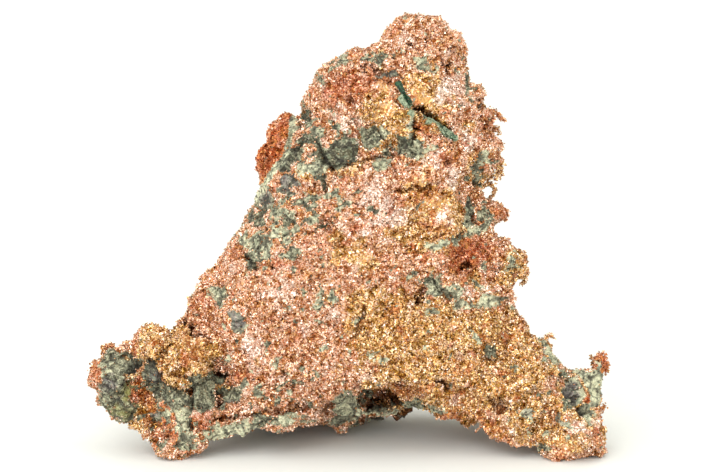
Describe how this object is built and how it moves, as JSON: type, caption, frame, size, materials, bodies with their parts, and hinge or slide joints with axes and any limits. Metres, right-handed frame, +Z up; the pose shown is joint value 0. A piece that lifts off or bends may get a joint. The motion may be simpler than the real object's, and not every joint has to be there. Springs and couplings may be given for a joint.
{
  "type": "native copper nugget",
  "caption": "Upright hackly mass of native copper grown through grey-green basalt, tapering to a blunt top, on two splayed feet and a heel with a low arch in front.",
  "frame": {"origin": "on the resting plane, under the middle of the nugget's outline seen from above", "axes": "+X along the longest side, from the left foot to the right foot seen from the front; +Y from the front to the back; +Z up"},
  "size_m": [0.0874, 0.038, 0.0729],
  "materials": {
    "native_copper": "rough hackly native copper, bright grains over darker copper, with patches of matte grey-green basalt"
  },
  "bodies": {
    "root": {"copper_nugget": "native_copper"}
  },
  "joints": []
}
